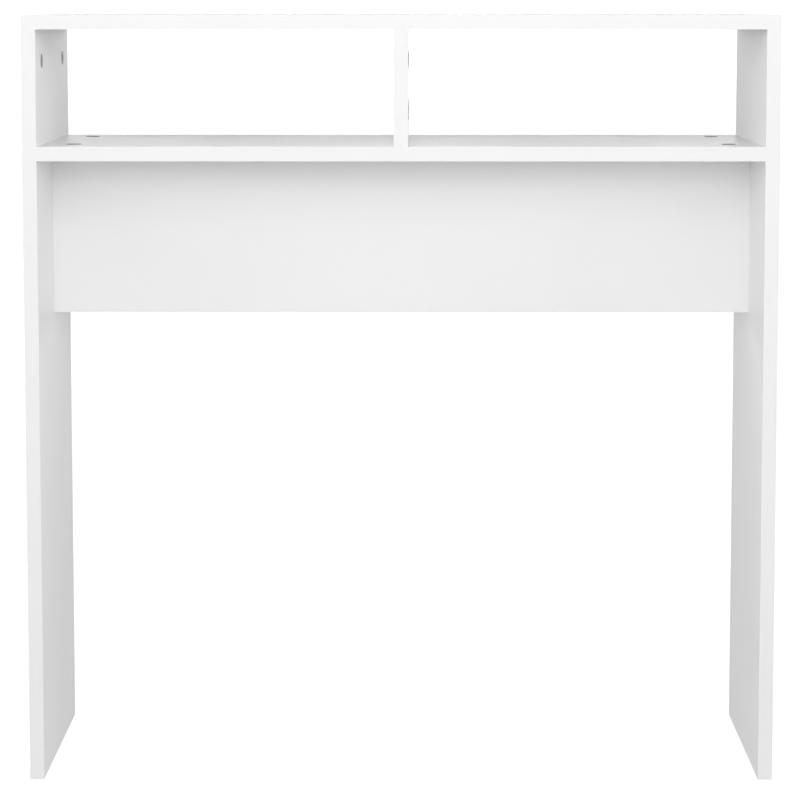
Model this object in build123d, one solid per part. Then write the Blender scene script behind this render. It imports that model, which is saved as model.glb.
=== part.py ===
from build123d import *
import os

# Console table: two full-depth side panels carry a table top, a lower shelf
# with one upright divider (two open bays) and an apron rail under the shelf.
# Everything is 15 mm melamine-faced board with thin edge bands, held together
# by connecting bolts drawn tight by cam locks and kept in line by wood dowels.
#
# Frame: millimetres, +Z up, +X to the right, -Y towards the user.
# Origin: centre of the footprint, on the floor.

os.makedirs("parts", exist_ok=True)

# ---------------------------------------------------------------- dimensions
WIDTH = 780.0            # over the side panels
DEPTH = 300.0            # over the front and rear edge bands
HEIGHT = 800.0           # to the upper end of the right side panel
BOARD = 15.0             # board thickness
BAND = 0.8               # edge band thickness
TOP_STEP = 0.5           # the table top lies this much under the right side's upper end
BAY_HEIGHT = 120.0       # clear height of the two bays
APRON_HEIGHT = 170.0     # apron rail, from the shelf's underside down

HOLE_ROW = 96.0          # fastener rows stand this far in front of and behind the middle
DOWEL_ROW = 64.0         # dowel rows
APRON_HOLE_SPACING = 96.0

# cam lock
CAM_SETBACK = 33.0       # cam centre to the joint face
CAM_BORE_D = 15.0
CAM_BORE_DEPTH = 12.6
CAM_D = 14.6
CAM_DEPTH = CAM_BORE_DEPTH   # the cam stands on the floor of its bore
CAM_PROUD = 0.6              # height of the cam's face over the board
# connecting bolt
BOLT_THREAD_D = 6.0
BOLT_THREAD_LEN = 11.0
BOLT_PILOT_D = 6.1
BOLT_PILOT_DEPTH = 12.0
BOLT_COLLAR_D = 7.6
BOLT_COLLAR_T = 1.6
BOLT_SHANK_D = 5.2
BOLT_NECK_D = 3.2
BOLT_HEAD_D = 6.6
BOLT_BORE_D = 8.0
# dowel
DOWEL_D = 7.9
DOWEL_BORE_D = 8.0
DOWEL_LEN = 30.0
DOWEL_IN_FACE = 11.0     # length in the panel whose face takes the dowel
DOWEL_GAP = 0.6          # free depth beyond each dowel end

# ---------------------------------------------------------------- levels
X_OUT = WIDTH / 2
X_IN = X_OUT - BOARD
Y_OUT = DEPTH / 2
Y_CORE = Y_OUT - BAND
Z_TOP = HEIGHT - TOP_STEP
Z_TOP_UNDER = Z_TOP - BOARD
Z_SHELF = Z_TOP_UNDER - BAY_HEIGHT
Z_SHELF_UNDER = Z_SHELF - BOARD
Z_APRON_LOW = Z_SHELF_UNDER - APRON_HEIGHT
Z_APRON_MID = (Z_SHELF_UNDER + Z_APRON_LOW) / 2
APRON_HOLES = (Z_APRON_MID - APRON_HOLE_SPACING / 2, Z_APRON_MID + APRON_HOLE_SPACING / 2)
APRON_DOWEL_X = (-240.0, 0.0, 240.0)
ROWS = (-HOLE_ROW, HOLE_ROW)
DOWEL_ROWS = (-DOWEL_ROW, DOWEL_ROW)


def block(x0, x1, y0, y1, z0, z1):
    """A board or band between two corners."""
    return Pos((x0 + x1) / 2, (y0 + y1) / 2, (z0 + z1) / 2) * Box(x1 - x0, y1 - y0, z1 - z0)


def frame_at(origin, axis, side=(0, 1, 0)):
    """A placement whose local Z runs along axis and whose local X runs along side."""
    return Plane(origin=origin, x_dir=side, z_dir=axis).location


def rod(diameter, z0, z1):
    """A cylinder on local Z between two heights."""
    return Pos(0, 0, z0) * Cylinder(diameter / 2, z1 - z0, align=(Align.CENTER, Align.CENTER, Align.MIN))


# ---------------------------------------------------------------- fasteners
def cam_lock():
    """Local Z points out of the panel face at z = 0, the bolt comes in along -X."""
    cam = rod(CAM_D, -CAM_DEPTH, CAM_PROUD)
    cam = chamfer(cam.edges().filter_by(GeomType.CIRCLE).group_by(Axis.Z)[-1], 0.3)
    axis_z = -BOARD / 2
    # jaws that grip the bolt's head, and the slot that lets its neck through
    cam -= Pos(0, 0, axis_z) * Box(7.4, 7.6, 7.6)
    cam -= Pos(0, 0, axis_z) * Box(40, 4.2, 4.2, align=(Align.MAX, Align.CENTER, Align.CENTER))
    cam -= Pos(0, 2.1, axis_z) * Box(40, 40, 4.2, align=(Align.MAX, Align.MAX, Align.CENTER))
    # mouth that the bolt's head enters by before the cam is turned
    cam -= Pos(0, 0, axis_z) * Box(40, 7.6, 7.6, align=(Align.MIN, Align.CENTER, Align.CENTER))
    # cross recess for the screwdriver, with a small pointer notch towards the bolt
    recess = Box(8.4, 1.7, 4.2) + Box(1.7, 8.4, 4.2) + Box(3.8, 3.8, 4.2)
    cam -= Pos(0, 0, CAM_PROUD) * Rot(0, 0, 45) * recess
    cam -= Pos(-5.9, 0, CAM_PROUD) * Box(1.6, 0.9, 1.0)
    return cam


def connecting_bolt():
    """Local Z points from the threaded panel's face towards the cam."""
    thread = rod(BOLT_THREAD_D - 1.0, -BOLT_THREAD_LEN, 0)
    ribs = BOLT_THREAD_LEN / 5.5
    z = -BOLT_THREAD_LEN + 1.2
    while z < -1.2:
        rib = Pos(0, 0, z) * Cone(BOLT_THREAD_D / 2 - 0.5, BOLT_THREAD_D / 2, 0.7, align=(Align.CENTER, Align.CENTER, Align.MIN))
        rib += Pos(0, 0, z + 0.7) * Cone(BOLT_THREAD_D / 2, BOLT_THREAD_D / 2 - 0.5, 0.5, align=(Align.CENTER, Align.CENTER, Align.MIN))
        thread += rib
        z += ribs
    collar = rod(BOLT_COLLAR_D, 0, BOLT_COLLAR_T)
    shank = rod(BOLT_SHANK_D, 0, CAM_SETBACK - CAM_D / 2 - 0.9)
    neck = rod(BOLT_NECK_D, 0, CAM_SETBACK - 2.0)
    head = rod(BOLT_HEAD_D, CAM_SETBACK - 3.0, CAM_SETBACK + 1.2)
    head = chamfer(head.edges().filter_by(GeomType.CIRCLE), 0.7)
    return thread + collar + shank + neck + head


def dowel():
    """Local Z points from the face panel into the edge panel; z = 0 is the joint."""
    pin = rod(DOWEL_D, -DOWEL_IN_FACE, DOWEL_LEN - DOWEL_IN_FACE)
    return chamfer(pin.edges().filter_by(GeomType.CIRCLE), 0.9)


CAM, BOLT, DOWEL = cam_lock(), connecting_bolt(), dowel()


class BoltJoint:
    """Bolts screwed into one panel's face and caught by cams in the other panel."""

    def __init__(self, points, out, cam_face):
        self.points = points          # bolt axes on the joint face
        self.out = Vector(*out)       # from the threaded panel into the cam panel
        self.face = Vector(*cam_face) # out of the panel face that the cams sit in

    def at_bolt(self, p):
        return frame_at(Vector(*p), self.out, self.face)

    def at_cam(self, p):
        centre = Vector(*p) + self.out * CAM_SETBACK + self.face * (BOARD / 2)
        # local X of the cam runs on along the bolt's direction
        return frame_at(centre, self.face, self.out)

    def bolts(self):
        return [self.at_bolt(p) * BOLT for p in self.points]

    def cams(self):
        return [self.at_cam(p) * CAM for p in self.points]

    def face_cut(self):
        """Pilot bores in the threaded panel."""
        return [self.at_bolt(p) * rod(BOLT_PILOT_D, -BOLT_PILOT_DEPTH, 1) for p in self.points]

    def edge_cut(self):
        """Bolt bores and cam bores in the cam panel."""
        cuts = []
        for p in self.points:
            cuts.append(self.at_bolt(p) * rod(BOLT_BORE_D, -1, CAM_SETBACK))
            cuts.append(self.at_cam(p) * rod(CAM_BORE_D, -CAM_BORE_DEPTH, 1))
        return cuts


class DowelJoint:
    def __init__(self, points, out):
        self.points, self.out = points, Vector(*out)

    def at(self, p):
        side = (0, 1, 0) if abs(self.out.Y) < 0.5 else (1, 0, 0)
        return frame_at(Vector(*p), self.out, side)

    def dowels(self):
        return [self.at(p) * DOWEL for p in self.points]

    def face_cut(self):
        return [self.at(p) * rod(DOWEL_BORE_D, -DOWEL_IN_FACE - DOWEL_GAP, 1) for p in self.points]

    def edge_cut(self):
        return [self.at(p) * rod(DOWEL_BORE_D, -1, DOWEL_LEN - DOWEL_IN_FACE + DOWEL_GAP) for p in self.points]


# ---------------------------------------------------------------- joints
Z_TOP_MID = Z_TOP - BOARD / 2
Z_SHELF_MID = Z_SHELF - BOARD / 2
X_SIDE_MID = X_OUT - BOARD / 2

# the table top laps over the left side panel and butts against the right one
b_top_left = BoltJoint([(-X_SIDE_MID, y, Z_TOP_UNDER) for y in ROWS], (0, 0, -1), (1, 0, 0))
b_top_right = BoltJoint([(X_IN, y, Z_TOP_MID) for y in ROWS], (-1, 0, 0), (0, 0, -1))
b_top_divider = BoltJoint([(0, y, Z_TOP_UNDER) for y in ROWS], (0, 0, -1), (1, 0, 0))
b_shelf_divider = BoltJoint([(0, y, Z_SHELF) for y in ROWS], (0, 0, 1), (1, 0, 0))
b_shelf_left = BoltJoint([(-X_IN, y, Z_SHELF_MID) for y in ROWS], (1, 0, 0), (0, 0, 1))
b_shelf_right = BoltJoint([(X_IN, y, Z_SHELF_MID) for y in ROWS], (-1, 0, 0), (0, 0, 1))
b_apron_left = BoltJoint([(-X_IN, 0, z) for z in APRON_HOLES], (1, 0, 0), (0, 1, 0))
b_apron_right = BoltJoint([(X_IN, 0, z) for z in APRON_HOLES], (-1, 0, 0), (0, 1, 0))

d_top_left = DowelJoint([(-X_SIDE_MID, y, Z_TOP_UNDER) for y in DOWEL_ROWS], (0, 0, -1))
d_top_right = DowelJoint([(X_IN, y, Z_TOP_MID) for y in DOWEL_ROWS], (-1, 0, 0))
d_top_divider = DowelJoint([(0, y, Z_TOP_UNDER) for y in DOWEL_ROWS], (0, 0, -1))
d_shelf_divider = DowelJoint([(0, y, Z_SHELF) for y in DOWEL_ROWS], (0, 0, 1))
d_shelf_left = DowelJoint([(-X_IN, y, Z_SHELF_MID) for y in DOWEL_ROWS], (1, 0, 0))
d_shelf_right = DowelJoint([(X_IN, y, Z_SHELF_MID) for y in DOWEL_ROWS], (-1, 0, 0))
d_apron_left = DowelJoint([(-X_IN, 0, Z_APRON_MID)], (1, 0, 0))
d_apron_right = DowelJoint([(X_IN, 0, Z_APRON_MID)], (-1, 0, 0))
d_apron_shelf = DowelJoint([(x, 0, Z_SHELF_UNDER) for x in APRON_DOWEL_X], (0, 0, -1))


def bored(panel, *cut_lists):
    for cuts in cut_lists:
        for cut in cuts:
            panel -= cut
    return panel


nodes = {}

# ---------------------------------------------------------------- panels
nodes["left_side_panel"] = bored(
    block(-X_OUT, -X_IN, -Y_CORE, Y_CORE, 0, Z_TOP_UNDER),
    b_top_left.edge_cut(), d_top_left.edge_cut(),
    b_shelf_left.face_cut(), d_shelf_left.face_cut(),
    b_apron_left.face_cut(), d_apron_left.face_cut(),
)
nodes["right_side_panel"] = bored(
    block(X_IN, X_OUT, -Y_CORE, Y_CORE, 0, HEIGHT - BAND),
    b_top_right.face_cut(), d_top_right.face_cut(),
    b_shelf_right.face_cut(), d_shelf_right.face_cut(),
    b_apron_right.face_cut(), d_apron_right.face_cut(),
)
nodes["table_top"] = bored(
    block(-X_OUT + BAND, X_IN, -Y_CORE, Y_CORE, Z_TOP_UNDER, Z_TOP),
    b_top_left.face_cut(), d_top_left.face_cut(),
    b_top_right.edge_cut(), d_top_right.edge_cut(),
    b_top_divider.face_cut(), d_top_divider.face_cut(),
)
nodes["lower_shelf"] = bored(
    block(-X_IN, X_IN, -Y_CORE, Y_CORE, Z_SHELF_UNDER, Z_SHELF),
    b_shelf_left.edge_cut(), d_shelf_left.edge_cut(),
    b_shelf_right.edge_cut(), d_shelf_right.edge_cut(),
    b_shelf_divider.face_cut(), d_shelf_divider.face_cut(),
    d_apron_shelf.face_cut(),
)
nodes["centre_divider"] = bored(
    block(-BOARD / 2, BOARD / 2, -Y_CORE, Y_CORE, Z_SHELF, Z_TOP_UNDER),
    b_top_divider.edge_cut(), d_top_divider.edge_cut(),
    b_shelf_divider.edge_cut(), d_shelf_divider.edge_cut(),
)
nodes["apron_rail"] = bored(
    block(-X_IN, X_IN, -BOARD / 2, BOARD / 2, Z_APRON_LOW + BAND, Z_SHELF_UNDER),
    b_apron_left.edge_cut(), d_apron_left.edge_cut(),
    b_apron_right.edge_cut(), d_apron_right.edge_cut(),
    d_apron_shelf.edge_cut(),
)


# ---------------------------------------------------------------- edge bands
def front_and_rear_bands(name, x0, x1, z0, z1):
    nodes[name + "_front_band"] = block(x0, x1, -Y_OUT, -Y_CORE, z0, z1)
    nodes[name + "_rear_band"] = block(x0, x1, Y_CORE, Y_OUT, z0, z1)


front_and_rear_bands("left_side", -X_OUT, -X_IN, 0, Z_TOP_UNDER)
front_and_rear_bands("right_side", X_IN, X_OUT, 0, HEIGHT)
front_and_rear_bands("table_top", -X_OUT, X_IN, Z_TOP_UNDER, Z_TOP)
front_and_rear_bands("lower_shelf", -X_IN, X_IN, Z_SHELF_UNDER, Z_SHELF)
front_and_rear_bands("centre_divider", -BOARD / 2, BOARD / 2, Z_SHELF, Z_TOP_UNDER)
nodes["table_top_left_end_band"] = block(-X_OUT, -X_OUT + BAND, -Y_CORE, Y_CORE, Z_TOP_UNDER, Z_TOP)
nodes["right_side_upper_end_band"] = block(X_IN, X_OUT, -Y_CORE, Y_CORE, HEIGHT - BAND, HEIGHT)
nodes["apron_rail_lower_band"] = block(-X_IN, X_IN, -BOARD / 2, BOARD / 2, Z_APRON_LOW, Z_APRON_LOW + BAND)

# ---------------------------------------------------------------- cam locks
nodes["left_side_cam_locks"] = b_top_left.cams()
nodes["table_top_cam_locks"] = b_top_right.cams()
nodes["centre_divider_cam_locks"] = b_top_divider.cams() + b_shelf_divider.cams()
nodes["lower_shelf_cam_locks"] = b_shelf_left.cams() + b_shelf_right.cams()
nodes["apron_rail_cam_locks"] = b_apron_left.cams() + b_apron_right.cams()

# ---------------------------------------------------------------- connecting bolts
nodes["top_to_left_side_bolts"] = b_top_left.bolts()
nodes["top_to_right_side_bolts"] = b_top_right.bolts()
nodes["top_to_divider_bolts"] = b_top_divider.bolts()
nodes["shelf_to_divider_bolts"] = b_shelf_divider.bolts()
nodes["shelf_to_left_side_bolts"] = b_shelf_left.bolts()
nodes["shelf_to_right_side_bolts"] = b_shelf_right.bolts()
nodes["apron_to_left_side_bolts"] = b_apron_left.bolts()
nodes["apron_to_right_side_bolts"] = b_apron_right.bolts()

# ---------------------------------------------------------------- dowels
nodes["top_to_left_side_dowels"] = d_top_left.dowels()
nodes["top_to_right_side_dowels"] = d_top_right.dowels()
nodes["top_to_divider_dowels"] = d_top_divider.dowels()
nodes["shelf_to_divider_dowels"] = d_shelf_divider.dowels()
nodes["shelf_to_left_side_dowels"] = d_shelf_left.dowels()
nodes["shelf_to_right_side_dowels"] = d_shelf_right.dowels()
nodes["apron_to_left_side_dowel"] = d_apron_left.dowels()
nodes["apron_to_right_side_dowel"] = d_apron_right.dowels()
nodes["apron_to_shelf_dowels"] = d_apron_shelf.dowels()

# ---------------------------------------------------------------- export
for name, shape in nodes.items():
    if isinstance(shape, list):
        shape = shape[0] if len(shape) == 1 else Compound(children=list(shape))
    export_step(shape, f"parts/{name}.step")
print(len(nodes), "nodes")
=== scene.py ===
import bpy, math
from mathutils import Matrix, Vector


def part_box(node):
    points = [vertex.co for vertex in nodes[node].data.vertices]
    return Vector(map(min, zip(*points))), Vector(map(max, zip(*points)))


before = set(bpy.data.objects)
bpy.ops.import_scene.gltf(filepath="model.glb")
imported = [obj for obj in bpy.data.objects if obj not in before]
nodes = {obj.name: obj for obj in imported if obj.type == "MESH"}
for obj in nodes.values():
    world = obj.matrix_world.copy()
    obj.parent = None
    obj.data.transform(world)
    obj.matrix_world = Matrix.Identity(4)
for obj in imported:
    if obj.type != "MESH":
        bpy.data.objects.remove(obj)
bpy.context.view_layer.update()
scene = bpy.context.scene


# ------------------------------------------------------------------ node helpers
class Tree:
    """A short way to write a material's nodes."""

    def __init__(self, name):
        self.mat = bpy.data.materials.new(name)
        self.mat.use_nodes = True
        self.t = self.mat.node_tree
        self.t.nodes.clear()
        self.out = self.t.nodes.new("ShaderNodeOutputMaterial")
        self.bsdf = self.t.nodes.new("ShaderNodeBsdfPrincipled")
        self.t.links.new(self.bsdf.outputs[0], self.out.inputs["Surface"])

    def add(self, kind, inputs=None, **props):
        n = self.t.nodes.new("ShaderNode" + kind)
        for k, v in props.items():
            setattr(n, k, v)
        for k, v in (inputs or {}).items():
            self.feed(n, k, v)
        return n

    def feed(self, n, key, v):
        socket = n.inputs[key]
        if isinstance(v, bpy.types.NodeSocket):
            self.t.links.new(v, socket)
        else:
            socket.default_value = v

    def coords(self, scale=(1, 1, 1)):
        c = self.add("TexCoord")
        if scale == (1, 1, 1):
            return c.outputs["Object"]
        return self.add("Mapping", {"Vector": c.outputs["Object"], "Scale": scale}).outputs[0]

    def noise(self, vector, scale, detail=2.0, rough=0.5, distortion=0.0):
        return self.add("TexNoise", {"Vector": vector, "Scale": scale, "Detail": detail, "Roughness": rough, "Distortion": distortion}).outputs["Fac"]

    def voronoi(self, vector, scale, out="Distance", feature="F1", randomness=1.0):
        return self.add("TexVoronoi", {"Vector": vector, "Scale": scale, "Randomness": randomness}, feature=feature).outputs[out]

    def ramp(self, fac, stops, interpolation="LINEAR"):
        n = self.add("ValToRGB", {"Fac": fac})
        r = n.color_ramp
        r.interpolation = interpolation
        while len(r.elements) > 1:
            r.elements.remove(r.elements[-1])
        r.elements[0].position, r.elements[0].color = stops[0][0], (*stops[0][1], 1)
        for pos, col in stops[1:]:
            e = r.elements.new(pos)
            e.color = (*col, 1)
        return n.outputs["Color"]

    def span(self, value, lo, hi, to_lo, to_hi):
        return self.add("MapRange", {"Value": value, "From Min": lo, "From Max": hi, "To Min": to_lo, "To Max": to_hi}).outputs[0]

    def math(self, op, a, b=0.0, clamp=False):
        n = self.add("Math", operation=op, use_clamp=clamp)
        self.feed(n, 0, a)
        self.feed(n, 1, b)
        return n.outputs[0]

    def mix(self, fac, a, b, blend="MIX"):
        n = self.add("Mix", data_type="RGBA", blend_type=blend)
        self.feed(n, 0, fac)
        for key, v in ((6, a), (7, b)):
            self.feed(n, key, v if isinstance(v, bpy.types.NodeSocket) else (*v, 1))
        return n.outputs[2]

    def bump(self, height, distance, strength=1.0, normal=None):
        inputs = {"Height": height, "Distance": distance, "Strength": strength}
        if normal is not None:
            inputs["Normal"] = normal
        return self.add("Bump", inputs).outputs[0]

    def set(self, **sockets):
        for k, v in sockets.items():
            self.feed(self.bsdf, k.replace("_", " "), v)
        return self.mat


WHITE = 0.90
FLOOR_GLOW = 0.68


def melamine(name, axis):
    """White melamine facing on the two broad faces, whose normal runs along axis. The narrow faces show the particle board."""
    t = Tree(name)
    xyz = t.coords()
    # facing: an almost even white, with a faint cloudiness of the printed paper and tiny specks
    cloud = t.noise(xyz, 9.0, 3.0, 0.55)
    speck = t.noise(xyz, 950.0, 1.0, 0.5)
    tone = t.math("ADD", t.span(cloud, 0.3, 0.7, -0.006, 0.006), t.span(speck, 0.3, 0.7, -0.008, 0.008))
    face = t.add("CombineColor", {"Red": t.math("ADD", tone, WHITE), "Green": t.math("ADD", tone, WHITE), "Blue": t.math("ADD", tone, WHITE)}).outputs[0]
    # core: pressed wood chips
    chips = t.voronoi(t.coords((1, 1, 1)), 420.0, "Color")
    chip = t.ramp(t.add("SeparateColor", {"Color": chips}).outputs[0], [(0.0, (0.30, 0.19, 0.10)), (0.35, (0.52, 0.36, 0.20)), (0.7, (0.64, 0.47, 0.28)), (1.0, (0.74, 0.60, 0.40))])
    dust = t.noise(xyz, 1400.0, 2.0, 0.6)
    core = t.mix(t.span(dust, 0.35, 0.65, 0.0, 0.45), chip, (0.42, 0.29, 0.17))
    normal = t.add("SeparateXYZ", {"Vector": t.add("TexCoord").outputs["Normal"]})
    broad = t.math("GREATER_THAN", t.math("ABSOLUTE", normal.outputs[axis]), 0.6)
    colour = t.mix(broad, core, face)
    # texture of the press plate: a fine pearl with a slower ripple under it
    pearl = t.noise(xyz, 1500.0, 2.0, 0.55)
    ripple = t.noise(xyz, 210.0, 1.0, 0.4)
    height = t.math("ADD", t.math("MULTIPLY", pearl, 0.55), t.math("MULTIPLY", ripple, 0.45))
    bump = t.bump(height, 0.00009, 0.55)
    gloss = t.math("ADD", t.span(pearl, 0.3, 0.7, -0.05, 0.05), t.span(cloud, 0.3, 0.7, 0.36, 0.42))
    rough = t.add("Mix", {0: broad, 2: 0.85, 3: gloss}, data_type="FLOAT").outputs[0]
    return t.set(Base_Color=colour, Roughness=rough, Normal=bump, IOR=1.5, Specular_IOR_Level=0.25)


def edge_band(name, axis):
    """White ABS strip, drawn along axis: fine lines along its length and a light pearl."""
    t = Tree(name)
    stretch = [1.0, 1.0, 1.0]
    stretch[axis] = 0.02
    along = t.coords(tuple(stretch))
    xyz = t.coords()
    lines = t.noise(along, 1600.0, 2.0, 0.6)
    pearl = t.noise(xyz, 1300.0, 2.0, 0.5)
    cloud = t.noise(xyz, 14.0, 2.0, 0.5)
    tone = t.math("ADD", t.span(cloud, 0.3, 0.7, -0.005, 0.005), t.span(lines, 0.3, 0.7, -0.006, 0.006))
    colour = t.add("CombineColor", {"Red": t.math("ADD", tone, WHITE), "Green": t.math("ADD", tone, WHITE), "Blue": t.math("ADD", tone, WHITE)}).outputs[0]
    height = t.math("ADD", t.math("MULTIPLY", lines, 0.5), t.math("MULTIPLY", pearl, 0.5))
    bump = t.bump(height, 0.00006, 0.45)
    rough = t.math("ADD", t.span(pearl, 0.3, 0.7, -0.04, 0.04), t.span(lines, 0.3, 0.7, 0.32, 0.40))
    return t.set(Base_Color=colour, Roughness=rough, Normal=bump, IOR=1.5, Specular_IOR_Level=0.25)


def zinc(name):
    """Die-cast zinc: dull, slightly blotched grey metal with a cast grain."""
    t = Tree(name)
    xyz = t.coords()
    blotch = t.noise(xyz, 320.0, 4.0, 0.6, 0.4)
    grain = t.noise(xyz, 2600.0, 2.0, 0.6)
    colour = t.ramp(blotch, [(0.25, (0.27, 0.27, 0.268)), (0.55, (0.37, 0.37, 0.366)), (0.8, (0.44, 0.438, 0.432))])
    rough = t.math("ADD", t.span(blotch, 0.25, 0.75, 0.52, 0.36), t.span(grain, 0.3, 0.7, -0.05, 0.05))
    bump = t.bump(t.math("ADD", t.math("MULTIPLY", grain, 0.7), t.math("MULTIPLY", blotch, 0.3)), 0.00008, 0.6)
    return t.set(Base_Color=colour, Metallic=0.9, Roughness=rough, Normal=bump)


def plated_steel(name):
    """Turned and zinc-plated steel: bright, faintly yellow, with turning marks round the axis."""
    t = Tree(name)
    xyz = t.coords()
    marks = t.noise(xyz, 3800.0, 1.0, 0.5)
    cloud = t.noise(xyz, 240.0, 3.0, 0.6)
    colour = t.ramp(cloud, [(0.3, (0.52, 0.50, 0.44)), (0.7, (0.66, 0.64, 0.58))])
    rough = t.math("ADD", t.span(marks, 0.3, 0.7, -0.05, 0.05), t.span(cloud, 0.3, 0.7, 0.26, 0.36))
    return t.set(Base_Color=colour, Metallic=1.0, Roughness=rough, Normal=t.bump(marks, 0.00005, 0.4))


def beech(name):
    """Raw beech: pale brown with short darker flecks along the grain."""
    t = Tree(name)
    xyz = t.coords()
    fleck = t.voronoi(t.coords((1.0, 1.0, 0.25)), 1300.0)
    ring = t.noise(t.coords((1.0, 1.0, 0.08)), 420.0, 3.0, 0.6, 0.6)
    wood = t.ramp(ring, [(0.3, (0.50, 0.33, 0.19)), (0.6, (0.66, 0.47, 0.29)), (0.8, (0.72, 0.54, 0.36))])
    colour = t.mix(t.span(fleck, 0.0, 0.28, 0.5, 0.0), wood, (0.34, 0.20, 0.11))
    return t.set(Base_Color=colour, Roughness=t.span(ring, 0.3, 0.7, 0.6, 0.75), Normal=t.bump(ring, 0.0001, 0.5))


BOARDS = {
    "left_side_panel": 0, "right_side_panel": 0, "centre_divider": 0,
    "table_top": 2, "lower_shelf": 2,
    "apron_rail": 1,
}
board_mats = [melamine(f"white_melamine_{a}", i) for i, a in enumerate("xyz")]
band_mats = [edge_band(f"white_edge_band_{a}", i) for i, a in enumerate("xyz")]
cam_mat, steel_mat, dowel_mat = zinc("die_cast_zinc"), plated_steel("zinc_plated_steel"), beech("beech")

for name, o in nodes.items():
    lo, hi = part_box(name)
    size = hi - lo
    if name in BOARDS:
        mat = board_mats[BOARDS[name]]
    elif name.endswith("_band"):
        mat = band_mats[max(range(3), key=lambda i: size[i])]
    elif name.endswith("_cam_locks"):
        mat = cam_mat
    elif name.endswith("_bolts"):
        mat = steel_mat
    else:
        mat = dowel_mat
    for s in o.material_slots:
        s.material = mat
    if name in BOARDS or name.endswith("_band"):
        # a hair's breadth off every board and band edge, as a scraped band has
        weld = o.modifiers.new("weld", "WELD")
        weld.merge_threshold = 0.000002
        bevel = o.modifiers.new("edge_break", "BEVEL")
        bevel.width = 0.00012 if name in BOARDS else 0.00016
        bevel.segments = 2
        bevel.limit_method = "ANGLE"
        bevel.angle_limit = math.radians(35)
        bevel.use_clamp_overlap = True
        bevel.harden_normals = False
        wn = o.modifiers.new("normals", "WEIGHTED_NORMAL")
        wn.keep_sharp = False
        wn.weight = 50

# ------------------------------------------------------------------ camera
CAM_POS = (0.0125, -3.3246, 0.8096)
CAM_PITCH, CAM_YAW = 6.273, -0.243
cam_data = bpy.data.cameras.new("camera")
cam = bpy.data.objects.new("camera", cam_data)
scene.collection.objects.link(cam)
scene.camera = cam
cam_data.sensor_width = 36.0
cam_data.lens = 138.86
cam_data.shift_x = 0.0
cam_data.shift_y = -0.07
p, w = math.radians(CAM_PITCH), math.radians(CAM_YAW)
forward = Vector((math.sin(w) * math.cos(p), math.cos(w) * math.cos(p), -math.sin(p)))
cam.location = CAM_POS
cam.rotation_mode = "QUATERNION"
cam.rotation_quaternion = forward.to_track_quat("-Z", "Y")
cam_data.clip_start, cam_data.clip_end = 0.05, 200.0

# ------------------------------------------------------------------ stage
def quiet(o):
    """Stage pieces are seen by the camera and nothing else: the studio's light comes from the sky and the lamps."""
    o.visible_diffuse = o.visible_glossy = o.visible_transmission = o.visible_volume_scatter = False
    o.visible_shadow = False


floor_mesh = bpy.data.meshes.new("floor")
R = 20.0
floor_mesh.from_pydata([(-R, -R, -0.0002), (R, -R, -0.0002), (R, R, -0.0002), (-R, R, -0.0002)], [], [(0, 1, 2, 3)])
floor = bpy.data.objects.new("studio_floor", floor_mesh)
scene.collection.objects.link(floor)
quiet(floor)
t = Tree("pale_floor")
haze = t.noise(t.coords(), 0.7, 2.0, 0.5)
t.set(Base_Color=t.ramp(haze, [(0.3, (0.88, 0.88, 0.88)), (0.7, (0.90, 0.90, 0.90))]), Roughness=1.0, IOR=1.0)
# the floor runs into an even white away from the table, so no horizon shows
away = t.add("VectorMath", {0: t.coords((1, 1, 0))}, operation="LENGTH").outputs["Value"]
t.bsdf.inputs["Emission Color"].default_value = (1, 1, 1, 1)
t.feed(t.bsdf, "Emission Strength", t.span(away, 0.7, 3.0, FLOOR_GLOW, 1.0))
floor_mesh.materials.append(t.mat)

# a white cove behind and above the floor
bpy.ops.mesh.primitive_uv_sphere_add(segments=64, ring_count=32, radius=R * 0.98)
cove = bpy.context.object
cove.name = "studio_cove"
quiet(cove)
t = Tree("white_cove")
t.set(Base_Color=(0.9, 0.9, 0.9, 1), Roughness=1.0, IOR=1.0)
t.bsdf.inputs["Emission Color"].default_value = (1, 1, 1, 1)
t.bsdf.inputs["Emission Strength"].default_value = 1.0
cove.data.materials.append(t.mat)

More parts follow.
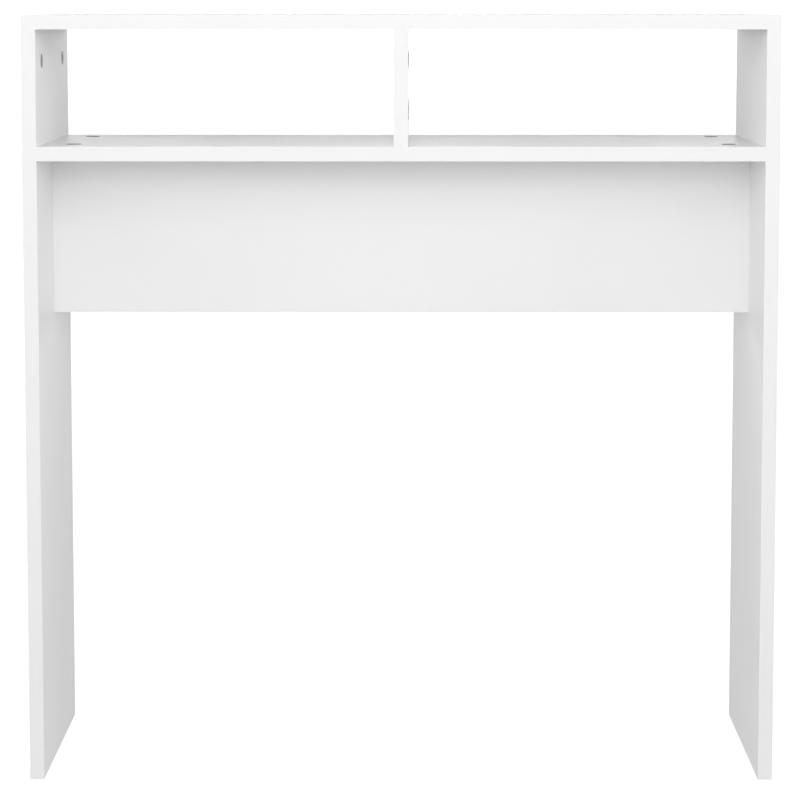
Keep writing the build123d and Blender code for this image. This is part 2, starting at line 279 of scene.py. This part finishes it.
# the sky: white floor below, a bright low band all round, little from above
world = bpy.data.worlds.new("studio")
scene.world = world
world.use_nodes = True
wt = world.node_tree
wt.nodes.clear()
sky_out = wt.nodes.new("ShaderNodeOutputWorld")
bg = wt.nodes.new("ShaderNodeBackground")
direction = wt.nodes.new("ShaderNodeTexCoord")
split = wt.nodes.new("ShaderNodeSeparateXYZ")
lift = wt.nodes.new("ShaderNodeMath")
lift.operation = "MULTIPLY_ADD"
lift.inputs[1].default_value = 0.5
lift.inputs[2].default_value = 0.5
band = wt.nodes.new("ShaderNodeValToRGB")
bg.inputs["Color"].default_value = (1, 1, 1, 1)
wt.links.new(direction.outputs["Generated"], split.inputs[0])
wt.links.new(split.outputs["Z"], lift.inputs[0])
wt.links.new(lift.outputs[0], band.inputs["Fac"])
wt.links.new(band.outputs["Color"], bg.inputs["Strength"])
wt.links.new(bg.outputs[0], sky_out.inputs["Surface"])
SKY = [(-1.0, 0.51), (-0.01, 0.51), (0.01, 2.35), (0.235, 2.35), (0.285, 0.0)]
band.color_ramp.elements.remove(band.color_ramp.elements[-1])
for i, (height, level) in enumerate(SKY):
    e = band.color_ramp.elements[0] if i == 0 else band.color_ramp.elements.new(height * 0.5 + 0.5)
    e.position = height * 0.5 + 0.5
    e.color = (level, level, level, 1)

# ------------------------------------------------------------------ lights
AIM = Vector((0, 0, 0.42))


def softbox(name, azimuth, elevation, distance, size, power):
    """A square soft light on a sphere round the table. Azimuth 0 is the camera's side, 90 the table's right."""
    a, e = math.radians(azimuth), math.radians(elevation)
    out = Vector((math.sin(a) * math.cos(e), -math.cos(a) * math.cos(e), math.sin(e)))
    data = bpy.data.lights.new(name, "AREA")
    data.shape = "SQUARE"
    data.size = size
    data.energy = power
    o = bpy.data.objects.new(name, data)
    o.location = AIM + out * distance
    o.rotation_mode = "QUATERNION"
    o.rotation_quaternion = (-out).to_track_quat("-Z", "Y")
    scene.collection.objects.link(o)
    o.visible_camera = False
    return o


LIGHTS = {
    "front_low": (0, 20, 2.2, 1.0, 7.5),
    "front_high": (0, 40, 2.2, 1.2, 6.1),
    "side_left": (-75, 20, 2.0, 1.2, 7.1),
    "side_right": (75, 20, 2.0, 1.2, 7.1),
    "overhead": (0, 90, 3.0, 1.6, 26.0),
}
for key, args in LIGHTS.items():
    softbox(key, *args)

scene.view_settings.view_transform = "Standard"
scene.view_settings.look = "None"
scene.view_settings.exposure = 0.0
scene.view_settings.gamma = 1.0
